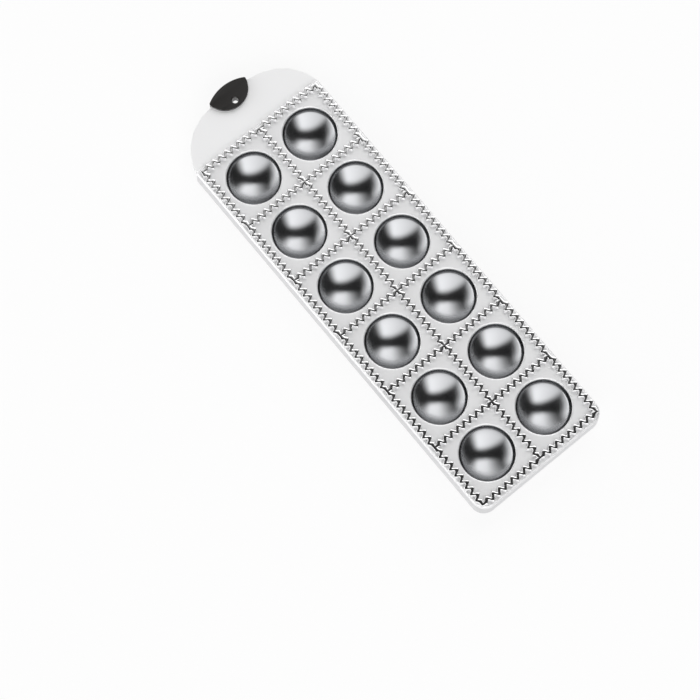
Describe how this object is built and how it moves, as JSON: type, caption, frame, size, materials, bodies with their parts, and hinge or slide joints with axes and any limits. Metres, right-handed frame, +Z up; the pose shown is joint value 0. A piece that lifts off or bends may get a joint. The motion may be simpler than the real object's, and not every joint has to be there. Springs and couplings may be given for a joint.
{
  "type": "ravioli mould",
  "caption": "Long cast aluminium tray of round bowls between zigzag cutting ridges, with an arched handle end, a plastic hanging tab and rubber feet.",
  "frame": {"origin": "under the middle of the overall box, on the surface that the rubber feet stand on", "axes": "+Z up, +Y along the tray towards the handle and its hanging tab, X across the tray"},
  "size_m": [0.1004, 0.3182, 0.0185],
  "materials": {
    "cast_aluminium": "satin on the flats, polished in the bowls and on the ridges",
    "black_plastic": "brown-black moulded plastic with a faint sheen",
    "black_rubber": "matte"
  },
  "bodies": {
    "root": {"mould_plate": "cast_aluminium", "hanging_tab": "black_plastic", "foot_end_left": "black_rubber", "foot_end_right": "black_rubber", "foot_handle_left": "black_rubber", "foot_handle_right": "black_rubber"}
  },
  "joints": []
}
